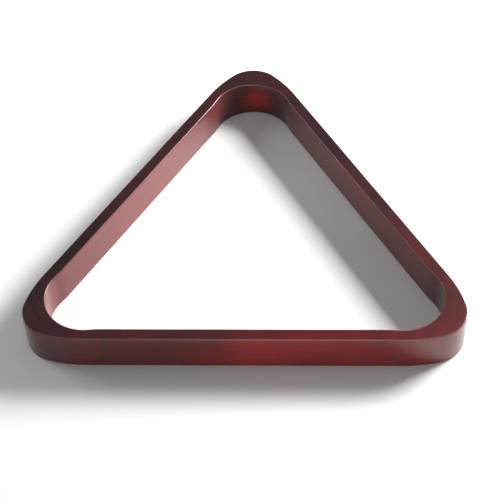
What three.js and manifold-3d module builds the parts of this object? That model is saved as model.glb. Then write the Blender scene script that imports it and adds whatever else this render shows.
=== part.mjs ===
// A triangle rack for pool balls: three straight rails stood on edge, butted against three thicker corner
// blocks, with two hidden dowels across each of the six joints. Millimetres, +Z up. The origin is the middle
// of the rack's footprint on the table. The base rail lies along X on the -Y side, the apex points to +Y.
import * as THREE from 'three';
import { mergeVertices } from 'three/addons/utils/BufferGeometryUtils.js';
import Module from 'manifold-3d';

const wasm = await Module();
wasm.setup();

// Driving dimensions.
const OVERALL_WIDTH = 330.2;     // across the two base corners
const RACK_HEIGHT = 31.75;
const RAIL_THICKNESS = 9.9;
const NOSE_RADIUS = 25;          // outer curve round the tip of a corner
const FLANK_RADIUS = 105;        // slow outer curve between the nose and the straight side
const FLANK_TURN = 16.5;         // degrees that the flank turns away from the straight side
const POCKET_RADIUS = 32.6;      // inner curve that a corner ball sits in
const POCKET_UNDERCUT = 0.77;    // how far the pocket bites past the rail's inner face
const RUNOUT_RADIUS = 80;        // gentle curve that leads from the rail's inner face into the pocket
const JOINT_ALONG = 103;         // from the middle of a rail to its end joints
const EDGE_ROUND = 0.8;          // rounding of the upper and lower edges
const GLUE_GAP = 0.3;            // space between two pieces that are glued together
const DOWEL_DIAMETER = 5;
const DOWEL_LENGTH = 25;
const DOWEL_CHAMFER = 0.6;
const DOWEL_FLUTES = 12;
const FLUTE_DEPTH = 0.2;
const HOLE_END_SPACE = 1;        // room for glue at each end of a dowel
const DOWEL_LEVELS = { lower: 0.25, upper: 0.75 };   // as shares of the rack's height

// How finely the curves are stepped.
const EDGE_STEPS = 2;
const ARC_STEPS = 9;
const HOLE_SIDES = 16;

// One third of the rack is worked out in its own frame: the origin is the middle of the triangle, and its
// corner points to +Y. The corner's right-hand side faces 30 degrees above +X.
const SIDE_FACING = Math.PI / 6;
const THIRD_OF_TURN = (2 * Math.PI) / 3;
const flankTurn = THREE.MathUtils.degToRad(FLANK_TURN);

// The nose's centre lies on the corner's bisector, far enough out to give the overall width.
const noseCentre = (OVERALL_WIDTH / 2 - NOSE_RADIUS) / Math.cos(SIDE_FACING);
const tipDistance = noseCentre + NOSE_RADIUS;

// Along a side, measured from its middle: the nose and the flank end where the straight part begins.
const tipAlong = tipDistance * Math.cos(SIDE_FACING);
const noseRun = NOSE_RADIUS * (Math.sin(Math.PI / 3) - Math.sin(flankTurn));
const flankRun = FLANK_RADIUS * Math.sin(flankTurn);
const flankAlong = tipAlong - noseRun - flankRun;

// Distances of the rail's two faces from the middle of the triangle.
const flankSetback = FLANK_RADIUS * (1 - Math.cos(flankTurn));
const noseSetback = NOSE_RADIUS * (Math.cos(flankTurn) - Math.cos(Math.PI / 3));
const outerDistance = tipDistance / 2 + flankSetback + noseSetback;
const innerDistance = outerDistance - RAIL_THICKNESS;
const middleDistance = outerDistance - RAIL_THICKNESS / 2;

// The pocket's circle reaches past the inner face of both rails. The run-out curve touches both of them.
const pocketCentre = 2 * (innerDistance + POCKET_UNDERCUT - POCKET_RADIUS);
const bothRadii = RUNOUT_RADIUS + POCKET_RADIUS;
const runoutTurn = Math.acos((bothRadii - POCKET_UNDERCUT) / bothRadii);
const runoutAlong = pocketCentre * Math.cos(SIDE_FACING) - bothRadii * Math.sin(runoutTurn);

const railLength = 2 * JOINT_ALONG - GLUE_GAP;
const holeRadius = DOWEL_DIAMETER / 2 + GLUE_GAP;
const holeLength = DOWEL_LENGTH + 2 * HOLE_END_SPACE;
const trimLength = 12;           // spare length that is sawn off a corner block at the joint

// A point on the right-hand side, from its distance to the middle and its place along the side.
function onRightSide(distance, along) {
  const facing = new THREE.Vector2(Math.cos(SIDE_FACING), Math.sin(SIDE_FACING));
  const towardsTip = new THREE.Vector2(-facing.y, facing.x);
  return facing.multiplyScalar(distance).addScaledVector(towardsTip, along);
}

// Turns and moves something that lies along X, so that it lies along a corner's left (-1) or right (1) side.
function placeOnSide(thing, side, along, height) {
  const spot = onRightSide(middleDistance, along);
  thing.rotateZ(side > 0 ? THIRD_OF_TURN : THIRD_OF_TURN / 2);
  if (thing.isObject3D) {
    thing.position.set(side * spot.x, spot.y, height);
  } else {
    thing.translate(side * spot.x, spot.y, height);
  }
  return thing;
}

function solidFrom(geometry) {
  const bare = geometry.clone();
  bare.deleteAttribute('normal');
  bare.deleteAttribute('uv');
  const merged = mergeVertices(bare);
  const vertProperties = new Float32Array(merged.attributes.position.array);
  const triVerts = new Uint32Array(merged.index.array);
  return new wasm.Manifold(new wasm.Mesh({ numProp: 3, vertProperties, triVerts }));
}

function geometryFrom(solid) {
  const { vertProperties, triVerts } = solid.getMesh();
  const geometry = new THREE.BufferGeometry();
  geometry.setAttribute('position', new THREE.BufferAttribute(vertProperties, 3));
  geometry.setIndex(new THREE.BufferAttribute(triVerts, 1));
  geometry.computeVertexNormals();
  return geometry;
}

// A bore that runs equally far into both pieces of a joint, along X.
function holeGeometry() {
  return new THREE.CylinderGeometry(holeRadius, holeRadius, holeLength, HOLE_SIDES).rotateZ(Math.PI / 2);
}

// The rail's cross-section with rounded edges: height along x, thickness along y.
function railSection() {
  const x = RACK_HEIGHT / 2 - EDGE_ROUND;
  const y = RAIL_THICKNESS / 2 - EDGE_ROUND;
  const quarter = Math.PI / 2;
  const section = new THREE.Shape();
  section.absarc(x, y, EDGE_ROUND, 0, quarter, false);
  section.absarc(-x, y, EDGE_ROUND, quarter, 2 * quarter, false);
  section.absarc(-x, -y, EDGE_ROUND, 2 * quarter, 3 * quarter, false);
  section.absarc(x, -y, EDGE_ROUND, 3 * quarter, 4 * quarter, false);
  return section;
}

function railGeometry() {
  const stick = new THREE.ExtrudeGeometry(railSection(), {
    depth: railLength,
    bevelEnabled: false,
    curveSegments: EDGE_STEPS / 2,
  });
  stick.translate(0, 0, -railLength / 2);
  stick.rotateY(Math.PI / 2);
  let solid = solidFrom(stick);
  for (const end of [-1, 1]) {
    for (const level of Object.values(DOWEL_LEVELS)) {
      const hole = holeGeometry().translate(end * JOINT_ALONG, 0, (level - 0.5) * RACK_HEIGHT);
      solid = solid.subtract(solidFrom(hole));
    }
  }
  return geometryFrom(solid);
}

// The corner block seen from above, with some spare length past each joint.
function cornerOutline() {
  const innerEnd = onRightSide(innerDistance, JOINT_ALONG - trimLength / 2);
  const outerEnd = onRightSide(outerDistance, JOINT_ALONG - trimLength / 2);
  const flankCentre = onRightSide(outerDistance - FLANK_RADIUS, flankAlong);
  const runoutCentre = onRightSide(innerDistance + RUNOUT_RADIUS, runoutAlong);
  const noseStart = SIDE_FACING + flankTurn;
  const pocketStart = SIDE_FACING - runoutTurn;
  const outline = new THREE.Shape();
  outline.moveTo(innerEnd.x, innerEnd.y);
  outline.lineTo(outerEnd.x, outerEnd.y);
  outline.absarc(flankCentre.x, flankCentre.y, FLANK_RADIUS, SIDE_FACING, noseStart, false);
  outline.absarc(0, noseCentre, NOSE_RADIUS, noseStart, Math.PI - noseStart, false);
  outline.absarc(-flankCentre.x, flankCentre.y, FLANK_RADIUS, Math.PI - noseStart, Math.PI - SIDE_FACING, false);
  outline.lineTo(-outerEnd.x, outerEnd.y);
  outline.lineTo(-innerEnd.x, innerEnd.y);
  outline.absarc(-runoutCentre.x, runoutCentre.y, RUNOUT_RADIUS, -SIDE_FACING, -pocketStart, false);
  outline.absarc(0, pocketCentre, POCKET_RADIUS, Math.PI - pocketStart, pocketStart, true);
  outline.absarc(runoutCentre.x, runoutCentre.y, RUNOUT_RADIUS, Math.PI + pocketStart, Math.PI + SIDE_FACING, false);
  outline.lineTo(innerEnd.x, innerEnd.y);
  return outline;
}

function cornerGeometry() {
  const block = new THREE.ExtrudeGeometry(cornerOutline(), {
    depth: RACK_HEIGHT - 2 * EDGE_ROUND,
    bevelThickness: EDGE_ROUND,
    bevelSize: EDGE_ROUND,
    bevelOffset: -EDGE_ROUND,
    bevelSegments: EDGE_STEPS,
    curveSegments: ARC_STEPS,
  });
  block.translate(0, 0, EDGE_ROUND);
  let solid = solidFrom(block);
  const sawCentre = JOINT_ALONG + GLUE_GAP / 2 - trimLength / 2;
  for (const side of [-1, 1]) {
    const offcut = new THREE.BoxGeometry(trimLength, 2 * RAIL_THICKNESS, 2 * RACK_HEIGHT);
    solid = solid.subtract(solidFrom(placeOnSide(offcut, side, sawCentre, RACK_HEIGHT / 2)));
    for (const level of Object.values(DOWEL_LEVELS)) {
      const hole = placeOnSide(holeGeometry(), side, JOINT_ALONG, level * RACK_HEIGHT);
      solid = solid.subtract(solidFrom(hole));
    }
  }
  return geometryFrom(solid);
}

// A dowel along X: a round stick with straight flutes that let the glue out, and chamfered ends.
function dowelGeometry() {
  const ridge = DOWEL_DIAMETER / 2;
  const points = [];
  for (let i = 0; i < 2 * DOWEL_FLUTES; i += 1) {
    const radius = i % 2 === 0 ? ridge : ridge - FLUTE_DEPTH;
    const angle = (i * Math.PI) / DOWEL_FLUTES;
    points.push(new THREE.Vector2(radius * Math.cos(angle), radius * Math.sin(angle)));
  }
  const straight = DOWEL_LENGTH - 2 * DOWEL_CHAMFER;
  const stick = new THREE.ExtrudeGeometry(new THREE.Shape(points), {
    depth: straight,
    bevelThickness: DOWEL_CHAMFER,
    bevelSize: DOWEL_CHAMFER,
    bevelOffset: -DOWEL_CHAMFER,
    bevelSegments: 1,
  });
  return stick.translate(0, 0, -straight / 2).rotateY(Math.PI / 2);
}

function wood(color, roughness) {
  return new THREE.MeshStandardMaterial({ color, roughness, metalness: 0, flatShading: true });
}

function named(name, geometry, material) {
  const mesh = new THREE.Mesh(geometry, material);
  mesh.name = name;
  return mesh;
}

const railMaterial = wood(0x5a2324, 0.35);
const cornerMaterial = wood(0x642a2b, 0.35);
const dowelMaterial = wood(0xc9a876, 0.75);

// Each third holds a corner, the rail that faces it, and the dowels of that corner's two joints.
const THIRDS = [
  { corner: 'apex_corner', facingRail: 'base_rail', railOnLeft: 'left_rail', railOnRight: 'right_rail' },
  { corner: 'left_corner', facingRail: 'right_rail', railOnLeft: 'base_rail', railOnRight: 'left_rail' },
  { corner: 'right_corner', facingRail: 'left_rail', railOnLeft: 'right_rail', railOnRight: 'base_rail' },
];

const rack = new THREE.Group();
rack.position.y = (outerDistance - tipDistance) / 2;
THIRDS.forEach(({ corner, facingRail, railOnLeft, railOnRight }, index) => {
  const third = new THREE.Group();
  third.rotation.z = index * THIRD_OF_TURN;
  const rail = named(facingRail, railGeometry(), railMaterial);
  rail.position.set(0, -middleDistance, RACK_HEIGHT / 2);
  third.add(rail);
  third.add(named(corner, cornerGeometry(), cornerMaterial));
  for (const [side, railName] of [[-1, railOnLeft], [1, railOnRight]]) {
    for (const [level, share] of Object.entries(DOWEL_LEVELS)) {
      const dowel = named(`${corner}_to_${railName}_${level}_dowel`, dowelGeometry(), dowelMaterial);
      third.add(placeOnSide(dowel, side, JOINT_ALONG, share * RACK_HEIGHT));
    }
  }
  rack.add(third);
});

export default rack;
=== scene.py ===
# %% [markdown]
# # A wooden triangle rack
# The rack gathers fifteen pool balls on the cloth. It is six pieces of dark stained wood: three straight
# rails and three thicker corner blocks, glued end to end, with two dowels hidden in every joint. The packed
# model gives every size and place. This script gives the wood its rounded edges, its grain and its lacquer.

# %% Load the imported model
import math

import bmesh
import bpy
import numpy as np
from mathutils import Matrix, Vector
from mathutils.geometry import tessellate_polygon


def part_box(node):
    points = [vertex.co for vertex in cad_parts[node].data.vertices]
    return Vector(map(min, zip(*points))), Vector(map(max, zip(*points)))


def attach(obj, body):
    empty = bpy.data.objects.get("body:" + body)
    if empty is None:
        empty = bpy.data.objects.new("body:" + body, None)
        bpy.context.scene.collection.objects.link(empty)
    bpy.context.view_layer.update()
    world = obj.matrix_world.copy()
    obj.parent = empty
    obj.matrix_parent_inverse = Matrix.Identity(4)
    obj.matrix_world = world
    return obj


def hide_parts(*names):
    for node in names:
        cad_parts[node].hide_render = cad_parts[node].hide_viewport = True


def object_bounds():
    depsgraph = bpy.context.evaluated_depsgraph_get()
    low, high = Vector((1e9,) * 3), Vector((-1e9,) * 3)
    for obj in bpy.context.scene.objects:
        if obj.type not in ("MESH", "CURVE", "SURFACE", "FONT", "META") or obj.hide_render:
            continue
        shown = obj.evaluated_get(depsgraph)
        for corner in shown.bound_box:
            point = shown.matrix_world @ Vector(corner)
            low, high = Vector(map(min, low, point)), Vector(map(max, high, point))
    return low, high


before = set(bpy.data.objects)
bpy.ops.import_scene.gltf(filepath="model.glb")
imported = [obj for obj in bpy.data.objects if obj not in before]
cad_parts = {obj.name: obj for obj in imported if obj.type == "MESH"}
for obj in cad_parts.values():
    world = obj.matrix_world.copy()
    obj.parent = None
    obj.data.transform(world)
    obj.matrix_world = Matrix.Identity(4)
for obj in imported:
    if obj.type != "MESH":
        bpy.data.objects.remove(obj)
cad_low, cad_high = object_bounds()
print("packed model:", len(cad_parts), "nodes, size", [round(v, 4) for v in cad_high - cad_low])

# %% [markdown]
# ## The plan of the rack
# Seen from above, the outside of a corner is two arcs on each half: a round nose, and a slow flank that
# runs into the straight side. The inside is one round pocket, which bites a little past the rails, and a
# gentle run-out leads into it. All of it could be traced by hand as a curve, but four arcs in words are
# shorter and stay true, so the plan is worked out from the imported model's boxes and the radii.

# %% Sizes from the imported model
NOSE_RADIUS = 0.025
FLANK_RADIUS = 0.105
FLANK_TURN = math.radians(16.5)
POCKET_RADIUS = 0.0326
POCKET_UNDERCUT = 0.00077
RUNOUT_RADIUS = 0.080
EDGE_ROUND = 0.0008
JOINT_LINE = 0.00001             # what is left of a joint once it is glued and sanded
SIDE_FACING = math.radians(30)   # a corner's right-hand side faces 30 degrees above +X
THIRD = math.radians(120)

rail_low, rail_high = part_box("base_rail")
dowel_low, dowel_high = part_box("left_corner_to_base_rail_lower_dowel")
left_corner_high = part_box("left_corner")[1]

height = cad_high.z - cad_low.z
thickness = rail_high.y - rail_low.y
joint_along = (rail_high.x - left_corner_high.x) / 2
tip_distance = ((cad_high.x - cad_low.x) / 2 - NOSE_RADIUS) / math.cos(SIDE_FACING) + NOSE_RADIUS
outer_distance = cad_high.y - cad_low.y - tip_distance
inner_distance = outer_distance - thickness
middle = np.array([0.0, cad_low.y + outer_distance])
print(f"joints {joint_along * 1000:.1f} mm from a rail's middle")
print(f"corner tips {tip_distance * 1000:.1f} mm out from the middle of the triangle")

# %% Places that follow
nose_centre = tip_distance - NOSE_RADIUS
nose_run = NOSE_RADIUS * (math.sin(math.radians(60)) - math.sin(FLANK_TURN))
flank_along = tip_distance * math.cos(SIDE_FACING) - nose_run - FLANK_RADIUS * math.sin(FLANK_TURN)
pocket_centre = 2 * (inner_distance + POCKET_UNDERCUT - POCKET_RADIUS)
both_radii = RUNOUT_RADIUS + POCKET_RADIUS
runout_turn = math.acos((both_radii - POCKET_UNDERCUT) / both_radii)
runout_along = pocket_centre * math.cos(SIDE_FACING) - both_radii * math.sin(runout_turn)
print(f"along a side, the flank begins at {flank_along * 1000:.1f} mm")
print(f"and the run-out at {runout_along * 1000:.1f} mm")


# %% [markdown]
# ## The two walls of a piece, from above
# Each wooden piece is described by two lines on the plan: its outer wall and its inner wall, each with the
# direction that the wall faces. A rail has two straight lines. A corner has the arcs. Both lines are given
# at the same number of places, so that a section can be carried from one end to the other.

# %% Lines on the plan
def directions(angle):
    """Unit vectors: the cosine and the sine of each angle."""
    return np.stack([np.cos(angle), np.sin(angle)], axis=-1)


def on_side(distance, along):
    """A point on a corner's right-hand side: its facing times distance, plus the way to the tip times
    along."""
    facing = directions(SIDE_FACING)
    to_tip = np.array([-facing[1], facing[0]])
    return facing * distance + np.multiply.outer(along, to_tip)


def both_halves(points, facing):
    """The right half of a line from joint to tip, followed by its mirror image back to the other joint."""
    flip = np.array([-1.0, 1.0])
    whole = np.concatenate([points, points[-2::-1] * flip])
    return whole, np.concatenate([facing, facing[-2::-1] * flip])


def three_part_line(walk, first, second, lines):
    """Picks the point for each distance walked: from the first line, then the second, then the third."""
    one, two, three = lines
    late = np.where((walk < first + second)[:, None], two, three)
    return np.where((walk < first)[:, None], one, late)


def corner_outer_wall(steps):
    """Distance walked along the wall turns it: not on the straight part, slowly on the flank, faster on the
    nose. The point lies one radius out from the centre of its arc, in the direction that the wall faces."""
    straight = flank_along - joint_along
    flank = FLANK_RADIUS * FLANK_TURN
    nose = NOSE_RADIUS * (math.radians(60) - FLANK_TURN)
    walk = np.linspace(JOINT_LINE / 2, straight + flank + nose, steps)
    turn = np.clip((walk - straight) / FLANK_RADIUS, 0, FLANK_TURN)
    turn += np.clip((walk - straight - flank) / NOSE_RADIUS, 0, None)
    facing = directions(SIDE_FACING + turn)
    on_straight = on_side(outer_distance, joint_along + walk)
    on_flank = on_side(outer_distance - FLANK_RADIUS, flank_along) + FLANK_RADIUS * facing
    on_nose = np.array([0.0, nose_centre]) + NOSE_RADIUS * facing
    return both_halves(three_part_line(walk, straight, flank, (on_straight, on_flank, on_nose)), facing)


def corner_inner_wall(steps):
    """A short straight lead, the run-out that turns away from it, and the pocket that turns back to the
    tip. The run-out's centre is in the wood, so its points lie one radius back from the centre."""
    lead = runout_along - joint_along
    runout = RUNOUT_RADIUS * runout_turn
    pocket = POCKET_RADIUS * (math.radians(60) + runout_turn)
    walk = np.linspace(JOINT_LINE / 2, lead + runout + pocket, steps)
    turn = -np.clip((walk - lead) / RUNOUT_RADIUS, 0, runout_turn)
    turn += np.clip((walk - lead - runout) / POCKET_RADIUS, 0, None)
    facing = directions(SIDE_FACING + turn)
    on_lead = on_side(inner_distance, joint_along + walk)
    on_runout = on_side(inner_distance + RUNOUT_RADIUS, runout_along) - RUNOUT_RADIUS * facing
    in_pocket = np.array([0.0, pocket_centre]) + POCKET_RADIUS * facing
    return both_halves(three_part_line(walk, lead, runout, (on_lead, on_runout, in_pocket)), -facing)


def rail_walls(steps):
    """Two straight lines below the middle of the triangle, from the left joint to the right one."""
    x = np.linspace(-1, 1, steps) * (joint_along - JOINT_LINE / 2)
    facing = np.tile([0.0, -1.0], (steps, 1))
    outer = np.stack([x, np.full(steps, -outer_distance)], axis=-1)
    inner = np.stack([x, np.full(steps, -inner_distance)], axis=-1)
    return (outer, facing), (inner, -facing)


# %% [markdown]
# ## Carrying the section along the walls
# The section is a tall rectangle with rounded edges. It could be a box with a Bevel modifier, but then the
# edges of rail and corner would not meet exactly, and the edge could not wear. Here each point of the
# section is told how far across the piece it is, how far it is set in from its wall, and how high it is.
# The radius of the edge swells and shrinks a little along the piece, as it does under a sanding block.

# %% The section and the surface
EDGE_STEPS = 7
WALL_STEPS = 12
FACE_STEPS = 8


def section():
    """Once round the section: share across (0 outer wall, 1 inner wall), inset and rise as shares of the
    edge radius, and share of the straight height. The rounded edges are quarter circles."""
    quarter = np.linspace(0, math.pi / 2, EDGE_STEPS)[1:-1]
    up = np.linspace(0, 1, WALL_STEPS)
    across = np.linspace(0, 1, FACE_STEPS)
    zero, one = np.zeros_like, np.ones_like
    rows = [
        (zero(up), zero(up), zero(up), up),
        (zero(quarter), 1 - np.cos(quarter), np.sin(quarter), one(quarter)),
        (across, one(across), one(across), one(across)),
        (one(quarter), 1 - np.sin(quarter), np.cos(quarter), one(quarter)),
        (one(up), zero(up), zero(up), 1 - up),
        (one(quarter), 1 - np.cos(quarter), -np.sin(quarter), zero(quarter)),
        (1 - across, one(across), -one(across), zero(across)),
        (zero(quarter), 1 - np.sin(quarter), -np.cos(quarter), zero(quarter)),
    ]
    return [np.concatenate(column) for column in zip(*rows)]


def edge_radius(walk, wander):
    """The edge radius along a piece: its mean, times one plus a slow ripple of about 10 cm and a quick one
    of about 4 cm. Both die away to nought at the joints, with the sine of half a turn, so that two pieces
    meet exactly."""
    ripple = 0.07 * np.sin(walk * 61 + wander) + 0.03 * np.sin(walk * 173 + 2.3 * wander)
    return EDGE_ROUND * (1 + ripple * np.sin(math.pi * walk / walk[-1]))


def carry_section(outer, inner, wander):
    """A grid of points: along the piece by round the section. Plan place = the two walls, each set in by
    inset times the edge radius, mixed by the share across. Height = share of the straight height plus
    rise."""
    (outer_line, outer_facing), (inner_line, inner_facing) = outer, inner
    across, inset, rise, up = section()
    steps = np.linalg.norm(np.diff((outer_line + inner_line) / 2, axis=0), axis=1)
    walk = np.concatenate([[0.0], np.cumsum(steps)])
    radius = edge_radius(walk, wander)[:, None]
    setback = (radius * inset)[..., None]
    on_outer = outer_line[:, None] - setback * outer_facing[:, None]
    on_inner = inner_line[:, None] - setback * inner_facing[:, None]
    plan = on_outer * (1 - across)[:, None] + on_inner * across[:, None]
    rise_to = radius + up * (height - 2 * radius) + rise * radius
    return np.concatenate([plan, rise_to[..., None]], axis=-1)


# %% [markdown]
# ## Closing the ends, with the dowel bores
# A joint face is flat, with two blind bores for the dowels. A Boolean modifier could drill them. Here the
# flat face is filled between the section's outline and two circles, and each bore is a short tube with a
# closed end, so the piece stays one clean closed shell.

# %% Bores and ends
BORE_SIDES = 32
BORE_SLIP = 0.0001               # how much wider a bore is than its dowel, in radius
BORE_FLOOR = 0.001               # how much deeper it is than the half dowel in it
BORE_RINGS = 8                   # a mouth and a floor, for two bores at each of two ends
TOP_POINT = WALL_STEPS + 8       # a point of the section that lies on the top, part of the way across
dowel_radius = (dowel_high.z - dowel_low.z) / 2
dowel_length = dowel_high.x - dowel_low.x
bore_depth = dowel_length / 2 + BORE_FLOOR
bore_levels = [height * share for share in (0.25, 0.75)]
print(f"bores {bore_depth * 1000:.1f} mm deep and {(dowel_radius + BORE_SLIP) * 2000:.1f} mm wide")


def end_face(loop, inwards):
    """The points and faces that close one end. loop is the section there, and inwards points into the wood.
    Circle point = bore centre + radius times (cosine across + sine up), then the same moved inwards."""
    across_middle = (loop[:, :2].max(0) + loop[:, :2].min(0)) / 2
    sideways = np.array([-inwards[1], inwards[0], 0.0])
    angle = np.linspace(0, 2 * math.pi, BORE_SIDES, endpoint=False)
    rings = []
    for level in bore_levels:
        centre = np.array([*across_middle, level])
        spokes = np.outer(np.cos(angle), sideways) + np.outer(np.sin(angle), [0.0, 0.0, 1.0])
        rings.append(centre + (dowel_radius + BORE_SLIP) * spokes)
    outlines = [[Vector(p) for p in outline] for outline in (loop, *rings)]
    faces = [list(triangle) for triangle in tessellate_polygon(outlines)]
    return rings, [ring + inwards * bore_depth for ring in rings], faces


def shell(grid):
    """One closed shell from a grid that is closed round the section: quads along it, and two ends. An end's
    inward direction is square to the section there, on the side where the next section lies."""
    along, around = grid.shape[:2]
    points = [grid.reshape(-1, 3)]
    here = np.arange(along * around).reshape(along, around)
    after = np.roll(here, -1, axis=1)
    quads = np.stack([here[:-1], here[1:], after[1:], after[:-1]], axis=-1).reshape(-1, 4)
    faces = quads.tolist()
    count = along * around
    for row, step in ((0, 1), (along - 1, -1)):
        inwards = np.cross([0, 0, 1], np.append(grid[row, 0, :2] - grid[row, TOP_POINT, :2], 0))
        inwards = inwards / np.linalg.norm(inwards)
        inwards = inwards * np.sign(inwards @ (grid[row + step].mean(0) - grid[row].mean(0)))
        mouths, floors, fill = end_face(grid[row], inwards)
        rim = list(here[row]) + list(range(count, count + len(mouths) * BORE_SIDES))
        points += mouths + floors
        end_faces = [[rim[i] for i in triangle] for triangle in fill]
        ring = np.arange(BORE_SIDES)
        for bore in range(len(mouths)):
            mouth = count + bore * BORE_SIDES + ring
            floor = mouth + len(mouths) * BORE_SIDES
            tube = [mouth, np.roll(mouth, -1), np.roll(floor, -1), floor]
            end_faces += np.stack(tube, axis=-1).tolist()
            end_faces.append(floor.tolist())
        faces += end_faces
        count += 2 * len(mouths) * BORE_SIDES
    return np.concatenate(points), faces


# %% Making the object
def wooden_piece(name, node, grid, turn):
    """A Blender mesh from the grid, turned about the middle of the triangle: x' = x cos - y sin, and
    y' = x sin + y cos. It rides on the rack's one body."""
    points, faces = shell(grid)
    spin = np.array([[math.cos(turn), -math.sin(turn)], [math.sin(turn), math.cos(turn)]])
    points[:, :2] = points[:, :2] @ spin.T + middle
    mesh = bpy.data.meshes.new(name)
    mesh.from_pydata(points.tolist(), [], faces)
    mesh.update()
    piece = bpy.data.objects.new(name, mesh)
    bpy.context.scene.collection.objects.link(piece)
    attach(piece, "root")
    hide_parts(node)
    return piece


# %% [markdown]
# ## How dark the stain is, with painted shade and light, and where
# Stain takes differently on each stick of wood, and a top sanded finer stays darker than a wall. The tones
# also hold painted shade and light: the left pieces are painted darker and the right corner lighter, as the
# main lamp from the right would leave them. Painting an image would need the mesh unwrapped. Here a few
# places on the rack are given a tone. Each point of the mesh takes the average of the places near it, and
# stores it as a number that the finish can read. The inner walls of the side rails are also given a painted
# reflection, a pale wash under the lacquer that stands for the bright table mirrored in it.

# %% Places and their tones
def centre_of(node, share=0.5, towards=None):
    """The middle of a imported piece's box, or a place part of the way from it to another piece's middle."""
    low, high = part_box(node)
    place = np.array((low + high) / 2)
    if towards:
        place = place + (centre_of(towards) - place) * share
    return place


# (place, tone on the outer wall, on the inner wall, on the top and bottom, painted reflection on the inner
# wall).
# A tone of 0 is nearly black and 1 is clear red. The tones are stain with painted shade and light in them,
# lower on the left and higher towards the right corner.
STAIN_AND_LIGHT_PLACES = [
    (centre_of("left_corner"), 0.44, 0.78, 0.08, 0.20),
    (centre_of("left_corner", 0.3, "left_rail"), 0.48, 0.82, 0.08, 0.36),
    (centre_of("left_rail"), 0.48, 0.82, 0.20, 0.50),
    (centre_of("apex_corner", 0.55, "left_rail"), 0.48, 0.82, 0.16, 0.64),
    (centre_of("apex_corner"), 0.44, 0.20, 0.14, 0.00),
    (centre_of("apex_corner", 0.55, "right_rail"), 0.44, 0.50, 0.12, 0.32),
    (centre_of("right_rail"), 0.44, 0.54, 0.12, 0.30),
    (centre_of("right_corner", 0.3, "right_rail"), 0.46, 0.54, 0.30, 0.34),
    (centre_of("right_corner"), 0.60, 0.36, 0.40, 0.10),
    (centre_of("base_rail"), 0.70, 0.55, 0.32, 0.00),
    (centre_of("right_corner", 0.45, "base_rail"), 0.84, 0.55, 0.62, 0.00),
    (centre_of("left_corner", 0.4, "base_rail"), 0.45, 0.55, 0.36, 0.00),
]
STAIN_AND_LIGHT_SPREAD = 0.05
FAR_WEIGHT = 1e-9                # keeps the average defined where no place is near

# (place, how far it spreads, how much redder it makes the wall). Each patch is partly redder stain and
# partly painted light, for the apex pocket and the low middle of the front face, which the lamps light too
# weakly.
apex_pocket = Vector((middle[0] + 0.004, middle[1] + pocket_centre + POCKET_RADIUS, height / 2))
front_face = Vector((0.016, cad_low.y, height * 0.2))
RED_AND_LIGHT_PATCHES = [(apex_pocket, 0.014, 0.92), (front_face, 0.034, 0.16)]


def stain_and_light_marks(points, flat, inner):
    """The tone, stain with painted shade and light in it, and the share of painted reflection at each point:
    the average of the places' numbers, each counted e to the minus (distance over the spread) squared, and
    then the red patches on the walls, partly redder stain and partly painted light, which fade out in the
    same way. flat is one on the top and the bottom, and inner is one on the inner wall."""
    tone, painted_reflection, count = np.zeros(len(points)), np.zeros(len(points)), np.zeros(len(points))
    for place, on_outer, on_inner, on_top, reflection_share in STAIN_AND_LIGHT_PLACES:
        near = np.exp(-np.sum((points[:, :2] - place[:2]) ** 2, axis=1) / STAIN_AND_LIGHT_SPREAD**2)
        weight = near + FAR_WEIGHT
        on_wall = on_outer * (1 - inner) + on_inner * inner
        tone += weight * (on_wall * (1 - flat) + on_top * flat)
        painted_reflection += weight * reflection_share * inner * (1 - flat)
        count += weight
    tone /= count
    for place, spread, extra in RED_AND_LIGHT_PATCHES:
        near = np.exp(-np.sum((points - np.array(place)) ** 2, axis=1) / spread**2)
        tone += extra * (1 - flat) * near
    return tone, painted_reflection / count


print(f"{len(STAIN_AND_LIGHT_PLACES)} stain places, {len(RED_AND_LIGHT_PATCHES)} red patches")


# %% [markdown]
# ## Where an edge is
# Stain is thin on a rounded edge and hands rub it paler, and the pale edge also serves as a painted
# highlight, the glint of the lamps along each rounding, so the finish has to know where the edges are. A
# shader could look for them in the finished shape. But the section was made here, so where its roundings lie
# is known exactly, and the mesh carries it as a number on each point: one in the middle of a rounding,
# nought on the flat faces.

# %% Tidying a mesh and marking its points
SHARP_ANGLE = math.radians(40)


def mark_points(mesh, name, values):
    """Stores one number on each point of the section grid. The points of the bores get nought."""
    marks = np.zeros(len(mesh.vertices), np.float32)
    marks[: len(values)] = values
    mesh.attributes.new(name, "FLOAT", "POINT").data.foreach_set("value", marks)


def finish_mesh(piece, around):
    """Faces outwards, smooth shading with crisp joint faces, and three marks on every point of the section.
    Edge mark = four times inset times (one minus inset), for the rubbed edge and its painted highlight. The
    stain mark = how dark the stain is there, with painted shade and light in it, and the reflection mark =
    how much painted reflection of the table the inner wall gets."""
    mesh = piece.data
    work = bmesh.new()
    work.from_mesh(mesh)
    bmesh.ops.recalc_face_normals(work, faces=work.faces)
    work.to_mesh(mesh)
    volume = work.calc_volume()
    work.free()
    points = np.empty(3 * len(mesh.vertices), np.float32)
    mesh.vertices.foreach_get("co", points)
    points = points.reshape(-1, 3).astype(float)[: len(mesh.vertices) - BORE_RINGS * BORE_SIDES]
    across, inset = (np.tile(share, len(points) // around) for share in section()[:2])
    mark_points(mesh, "edge", 4 * inset * (1 - inset))
    # stain tone with painted shade and light in it, and the painted reflection of the inner walls
    tone, painted_reflection = stain_and_light_marks(points, inset, across)
    mark_points(mesh, "stain", tone)
    mark_points(mesh, "painted_reflection", painted_reflection)
    mesh.shade_smooth()
    mesh.set_sharp_from_angle(angle=SHARP_ANGLE)
    print(f"{piece.name}: {len(mesh.polygons)} faces, {volume * 1e6:.1f} cm3")


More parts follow.
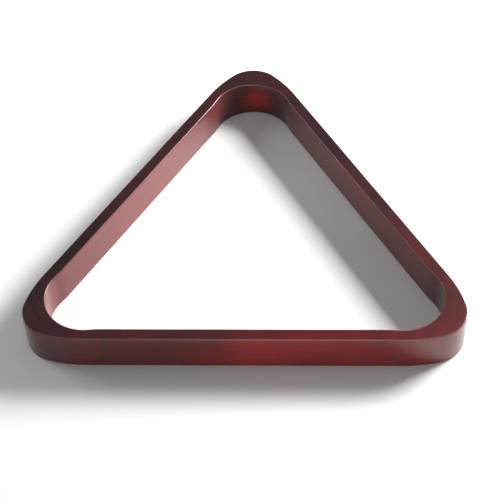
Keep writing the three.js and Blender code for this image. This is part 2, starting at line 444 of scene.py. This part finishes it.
# %% [markdown]
# ## The six wooden pieces
# The rack is one third, three times over: a corner, and the rail that lies across from it. Three turned
# copies of an object would do, but every finished piece has to sit at the origin, unturned. So the points
# themselves are turned, and each piece gets its own ripple along the edges.

# %% The three rails and the three corners
RAIL_STEPS = 121
CORNER_HALF_STEPS = 81
THIRDS = [("apex_corner", "base_rail"), ("left_corner", "right_rail"), ("right_corner", "left_rail")]

pieces = {}
for index, (corner, rail) in enumerate(THIRDS):
    turn = index * THIRD
    rail_outer, rail_inner = rail_walls(RAIL_STEPS)
    grid = carry_section(rail_outer, rail_inner, wander=1.7 * index)
    pieces[rail] = wooden_piece(rail + "_wood", rail, grid, turn)
    finish_mesh(pieces[rail], grid.shape[1])
    corner_walls = corner_outer_wall(CORNER_HALF_STEPS), corner_inner_wall(CORNER_HALF_STEPS)
    grid = carry_section(*corner_walls, wander=0.9 + 2.1 * index)
    pieces[corner] = wooden_piece(corner + "_wood", corner, grid, turn)
    finish_mesh(pieces[corner], grid.shape[1])


# %% [markdown]
# ## Stained and lacquered wood, with painted light
# The stain is a dark red mahogany. It takes unevenly: darker streaks run with the grain, and whole patches
# stay redder. Painted light lies in the colour too: painted shade and light in the stain marks, a painted
# reflection on the inner walls of the side rails and a painted highlight along the edges. Over it lies one
# coat of satin lacquer, which gives nearly all the gloss: little on a surface seen squarely, and a lot on
# one seen at a slant. An image of wood would repeat and would need unwrapping.
# Noise stretched along the grain in the piece's own space goes through the whole block, as real grain does,
# so it meets correctly at every edge.

# %% Helpers for node trees
def node(tree, kind, inputs=None, **settings):
    """Adds a node, sets its properties, and links or sets its inputs by name or number."""
    made = tree.nodes.new(kind)
    for key, value in settings.items():
        setattr(made, key, value)
    for key, value in (inputs or {}).items():
        socket = made.inputs[key]
        if isinstance(value, bpy.types.NodeSocket):
            tree.links.new(value, socket)
        else:
            socket.default_value = value
    return made


def ramp(tree, factor, stops):
    """A colour ramp with the given (place, colour) stops."""
    made = node(tree, "ShaderNodeValToRGB", {"Fac": factor})
    elements = made.color_ramp.elements
    for place, _ in stops[2:]:
        elements.new(place)
    for element, (place, colour) in zip(elements, stops):
        element.position = place
        element.color = (*colour, 1.0)
    return made.outputs["Color"]


def mix_colour(tree, factor, a, b):
    """Mixes two colours by a factor."""
    made = node(tree, "ShaderNodeMix", data_type="RGBA", clamp_factor=True)
    for index, value in ((0, factor), (6, a), (7, b)):
        if isinstance(value, bpy.types.NodeSocket):
            tree.links.new(value, made.inputs[index])
        else:
            made.inputs[index].default_value = value if index == 0 else (*value, 1.0)
    return made.outputs[2]


def math_node(tree, operation, a, b=0.0, c=0.0, clamp=False):
    """One arithmetic step. MULTIPLY_ADD gives a times b, plus c."""
    made = node(tree, "ShaderNodeMath", {0: a, 1: b, 2: c}, operation=operation, use_clamp=clamp)
    return made.outputs["Value"]


def stretched_noise(tree, space, lengthwise, crosswise, detail, roughness=0.5, distortion=0.0):
    """Noise whose spots are 1/lengthwise long with the grain and 1/crosswise wide, in metres."""
    scale = (lengthwise, crosswise, crosswise)
    squeezed = node(tree, "ShaderNodeMapping", {"Vector": space, "Scale": scale})
    made = node(
        tree,
        "ShaderNodeTexNoise",
        {
            "Vector": squeezed.outputs["Vector"],
            "Scale": 1.0,
            "Detail": detail,
            "Roughness": roughness,
            "Distortion": distortion,
        },
    )
    return made.outputs["Fac"]


# %% The wood finish
# (tone, colour of the stained wood)
STAIN = [
    (0.00, (0.018, 0.0085, 0.0097)),
    (0.25, (0.042, 0.0097, 0.0120)),
    (0.50, (0.078, 0.0067, 0.0088)),
    (0.75, (0.140, 0.0070, 0.0080)),
    (1.00, (0.230, 0.0110, 0.0100)),
]
# colour of the painted reflection: the bright table mirrored in the lacquer of the side rails' inner walls
PAINTED_REFLECTION_COLOUR = (0.190, 0.0560, 0.0580)
# colour of a rubbed edge: partly wear, partly a painted highlight
BARE_EDGE_AND_HIGHLIGHT = (0.230, 0.0800, 0.0700)
WOOD_GLOSS = 0.12                # the wood's own shine under the lacquer, nearly none
LACQUER_IOR = 1.48
LACQUER_ROUGHNESS = 0.21         # satin


def stained_wood_with_painted_light(name, grain_angle, seed):
    """Dark stain over wood whose grain runs at grain_angle on the plan, under a satin lacquer, with painted
    light in its colour. Tone = the stain mark, which holds painted shade and light, plus shares of blotch,
    streak and fibre, each less a half. The painted reflection, and the wear with its painted highlight,
    follow the streaks, so that the grain still shows in them."""
    material = bpy.data.materials.new(name)
    material.use_nodes = True
    tree = material.node_tree
    tree.nodes.clear()
    place = node(tree, "ShaderNodeTexCoord").outputs["Object"]
    shift = (seed * 1.37, seed * 0.71, seed * 0.43)
    along_grain = {"Vector": place, "Rotation": (0, 0, -grain_angle), "Location": shift}
    space = node(tree, "ShaderNodeMapping", along_grain).outputs["Vector"]
    blotch = stretched_noise(tree, place, 24, 24, 2, distortion=0.4)
    streak = stretched_noise(tree, space, 7, 210, 4, 0.55, 0.4)
    fibre = stretched_noise(tree, space, 45, 1500, 3, 0.6)
    pore = stretched_noise(tree, space, 260, 5200, 1, 0.4)
    pore_mask = node(
        tree, "ShaderNodeMapRange", {"Value": pore, "From Min": 0.62, "From Max": 0.70}, clamp=True
    ).outputs["Result"]
    # the stain mark: stain tone with painted shade and light in it
    tone = node(tree, "ShaderNodeAttribute", attribute_name="stain").outputs["Fac"]
    tone = math_node(tree, "MULTIPLY_ADD", math_node(tree, "SUBTRACT", blotch, 0.5), 0.50, tone)
    tone = math_node(tree, "MULTIPLY_ADD", math_node(tree, "SUBTRACT", streak, 0.5), 0.55, tone)
    tone = math_node(tree, "MULTIPLY_ADD", math_node(tree, "SUBTRACT", fibre, 0.5), 0.20, tone, clamp=True)
    # painted reflection on the inner walls, stronger along the streaks
    painted_reflection = node(tree, "ShaderNodeAttribute", attribute_name="painted_reflection").outputs["Fac"]
    painted_reflection = math_node(tree, "MULTIPLY", painted_reflection, math_node(tree, "MULTIPLY_ADD", streak, 1.0, 0.5))
    colour = mix_colour(tree, painted_reflection, ramp(tree, tone, STAIN), PAINTED_REFLECTION_COLOUR)
    colour = mix_colour(tree, math_node(tree, "MULTIPLY", pore_mask, 0.50), colour, STAIN[0][1])
    edge = node(tree, "ShaderNodeAttribute", attribute_name="edge").outputs["Fac"]
    # the pale edge, partly wear and partly a painted highlight along the rounding, more on the streaks
    worn_and_highlight = math_node(tree, "MULTIPLY", edge, math_node(tree, "MULTIPLY_ADD", streak, 0.5, 0.4), clamp=True)
    colour = mix_colour(tree, worn_and_highlight, colour, BARE_EDGE_AND_HIGHLIGHT)
    rough = math_node(tree, "MULTIPLY_ADD", blotch, 0.20, 0.26)
    rough = math_node(tree, "MULTIPLY_ADD", fibre, 0.10, rough)
    rough = math_node(tree, "MULTIPLY_ADD", pore_mask, 0.12, rough)
    relief = math_node(tree, "MULTIPLY_ADD", pore_mask, -0.8, fibre)
    skin = stretched_noise(tree, space, 320, 320, 2)
    relief = math_node(tree, "MULTIPLY_ADD", skin, 0.6, relief)
    bump = node(tree, "ShaderNodeBump", {"Height": relief, "Strength": 0.22, "Distance": 0.00006})
    shader = node(
        tree,
        "ShaderNodeBsdfPrincipled",
        {
            "Base Color": colour,
            "Roughness": rough,
            "Normal": bump.outputs["Normal"],
            "Specular IOR Level": WOOD_GLOSS,
            "Coat Weight": 1.0,
            "Coat IOR": LACQUER_IOR,
            "Coat Roughness": LACQUER_ROUGHNESS,
        },
    )
    output = node(tree, "ShaderNodeOutputMaterial")
    tree.links.new(shader.outputs["BSDF"], output.inputs["Surface"])
    return material


# %% Finishing each piece
# (piece, grain direction on the plan in degrees, seed, slot)
WOOD = [
    ("base_rail", 0, 3.1, "rail_wood"),
    ("right_rail", 120, 5.7, "rail_wood"),
    ("left_rail", 60, 8.3, "rail_wood"),
    ("apex_corner", 0, 1.9, "corner_wood"),
    ("left_corner", 120, 4.6, "corner_wood"),
    ("right_corner", 60, 7.2, "corner_wood"),
]
for name, angle, seed, slot in WOOD:
    pieces[name].data.materials.append(stained_wood_with_painted_light(name + "_finish", math.radians(angle), seed))
print("finished", len(WOOD), "wooden pieces")


# %% [markdown]
# ## The dowels
# Bare beech, fluted so that the glue can get out. They are glued inside the joints, so only someone who
# takes the rack apart sees them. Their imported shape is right, so they keep it and get a beech finish.

# %% Bare beech
BEECH_LIGHT = (0.52, 0.35, 0.19)
BEECH_DARK = (0.36, 0.21, 0.10)


def bare_beech():
    """Pale wood with small darker flecks, matt and a little rough to the touch."""
    material = bpy.data.materials.new("beech_finish")
    material.use_nodes = True
    tree = material.node_tree
    shader = tree.nodes["Principled BSDF"]
    place = node(tree, "ShaderNodeTexCoord").outputs["Object"]
    fleck = stretched_noise(tree, place, 900, 900, 3)
    colour = ramp(tree, fleck, [(0.35, BEECH_DARK), (0.60, BEECH_LIGHT)])
    tree.links.new(colour, shader.inputs["Base Color"])
    bump = node(tree, "ShaderNodeBump", {"Height": fleck, "Strength": 0.3, "Distance": 0.0001})
    tree.links.new(bump.outputs["Normal"], shader.inputs["Normal"])
    shader.inputs["Roughness"].default_value = 0.7
    return material


beech = bare_beech()
dowels = [cad_node for name, cad_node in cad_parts.items() if name.endswith("_dowel")]
for dowel in dowels:
    dowel.data.materials.clear()
    dowel.data.materials.append(beech)
print(len(dowels), "dowels in bare beech")


# %% [markdown]
# ## Table, light and camera
# A pale table top, a strong soft light behind on the right, weak soft ones in front, behind on the left and
# above, and a dim room. A room that is white all round would be simpler, but then dark lacquer looks grey.
# The camera looks down at the rack from the front through a long lens.

# %% The table
HALF_TABLE = 4.0
TABLE_DROP = 0.0002              # just under the rack, so that the two never share a face


def pale_floor():
    """A flat square, much larger than the rack."""
    mesh = bpy.data.meshes.new("table_top")
    signs = [(-1, -1), (1, -1), (1, 1), (-1, 1)]
    corners = [(x * HALF_TABLE, y * HALF_TABLE, -TABLE_DROP) for x, y in signs]
    mesh.from_pydata(corners, [], [(0, 1, 2, 3)])
    floor = bpy.data.objects.new("table_top", mesh)
    bpy.context.scene.collection.objects.link(floor)
    material = bpy.data.materials.new("pale_table")
    material.use_nodes = True
    shader = material.node_tree.nodes["Principled BSDF"]
    shader.inputs["Base Color"].default_value = (0.88, 0.88, 0.88, 1)
    shader.inputs["Roughness"].default_value = 0.9
    shader.inputs["Specular IOR Level"].default_value = 0.1
    mesh.materials.append(material)
    return floor


table_top = pale_floor()
print(f"{table_top.name} {2 * HALF_TABLE:.0f} m wide")


# %% The lights
def soft_light(name, place, aim, size, power):
    """A rectangular lamp of the given size, turned so that it shines from place to aim."""
    lamp = bpy.data.lights.new(name, "AREA")
    lamp.shape = "RECTANGLE"
    lamp.size, lamp.size_y = size
    lamp.energy = power
    holder = bpy.data.objects.new(name, lamp)
    bpy.context.scene.collection.objects.link(holder)
    holder.location = place
    holder.rotation_euler = (Vector(aim) - Vector(place)).to_track_quat("-Z", "Y").to_euler()


def from_centre(turn, climb, distance):
    """A place seen from the middle of the rack: turn degrees left of +X, climb degrees up, so far away."""
    turn, climb = math.radians(turn), math.radians(climb)
    level = distance * math.cos(climb)
    return level * math.cos(turn), level * math.sin(turn), distance * math.sin(climb)


# (name, degrees left of +X, degrees up, width and height in metres, power in watts)
LAMPS = [
    ("key_softbox", 31, 31, (0.52, 0.42), 37),
    ("front_softbox", 278, 9, (0.7, 0.3), 5.0),
    ("back_softbox", 160, 30, (0.5, 0.5), 3.6),
    ("top_softbox", 0, 90, (0.6, 0.6), 0.9),
]
LAMP_DISTANCE = 1.2
LAMP_AIM = (0, 0, 0.01)
DIM_ROOM = (0.12, 0.12, 0.12, 1)
for name, turn, climb, size, power in LAMPS:
    soft_light(name, from_centre(turn, climb, LAMP_DISTANCE), LAMP_AIM, size, power)
world = bpy.data.worlds.new("dim_room")
world.use_nodes = True
world.node_tree.nodes["Background"].inputs["Color"].default_value = DIM_ROOM
bpy.context.scene.world = world
print(len(LAMPS), "lamps")


# %% The camera
def camera_looking(turn, tilt, roll, aim, distance, lens):
    """A camera whose line of sight passes through aim. turn, tilt and roll are in degrees: tilt is how far
    down it looks, turn swings it about the vertical, and roll leans it."""
    turn, tilt, roll = (math.radians(v) for v in (turn, tilt, roll))
    ahead = Vector((math.sin(turn) * math.cos(tilt), math.cos(turn) * math.cos(tilt), -math.sin(tilt)))
    level = Vector((math.cos(turn), -math.sin(turn), 0))
    above = level.cross(ahead)
    right = level * math.cos(roll) - above * math.sin(roll)
    up = level * math.sin(roll) + above * math.cos(roll)
    data = bpy.data.cameras.new("camera")
    data.lens = lens
    data.sensor_width = 36
    data.clip_start = 0.01
    holder = bpy.data.objects.new("camera", data)
    bpy.context.scene.collection.objects.link(holder)
    spin = Matrix((right, up, -ahead)).transposed().to_4x4()
    holder.matrix_world = Matrix.Translation(Vector(aim) - ahead * distance) @ spin
    return holder


aim = (0.00228, -0.04696, height / 2)
camera = camera_looking(turn=-3.789, tilt=48.394, roll=2.848, aim=aim, distance=1.0627, lens=97.69)
bpy.context.scene.camera = camera
bpy.context.scene.view_settings.view_transform = "Standard"
print("camera at", [round(v, 3) for v in camera.matrix_world.translation])
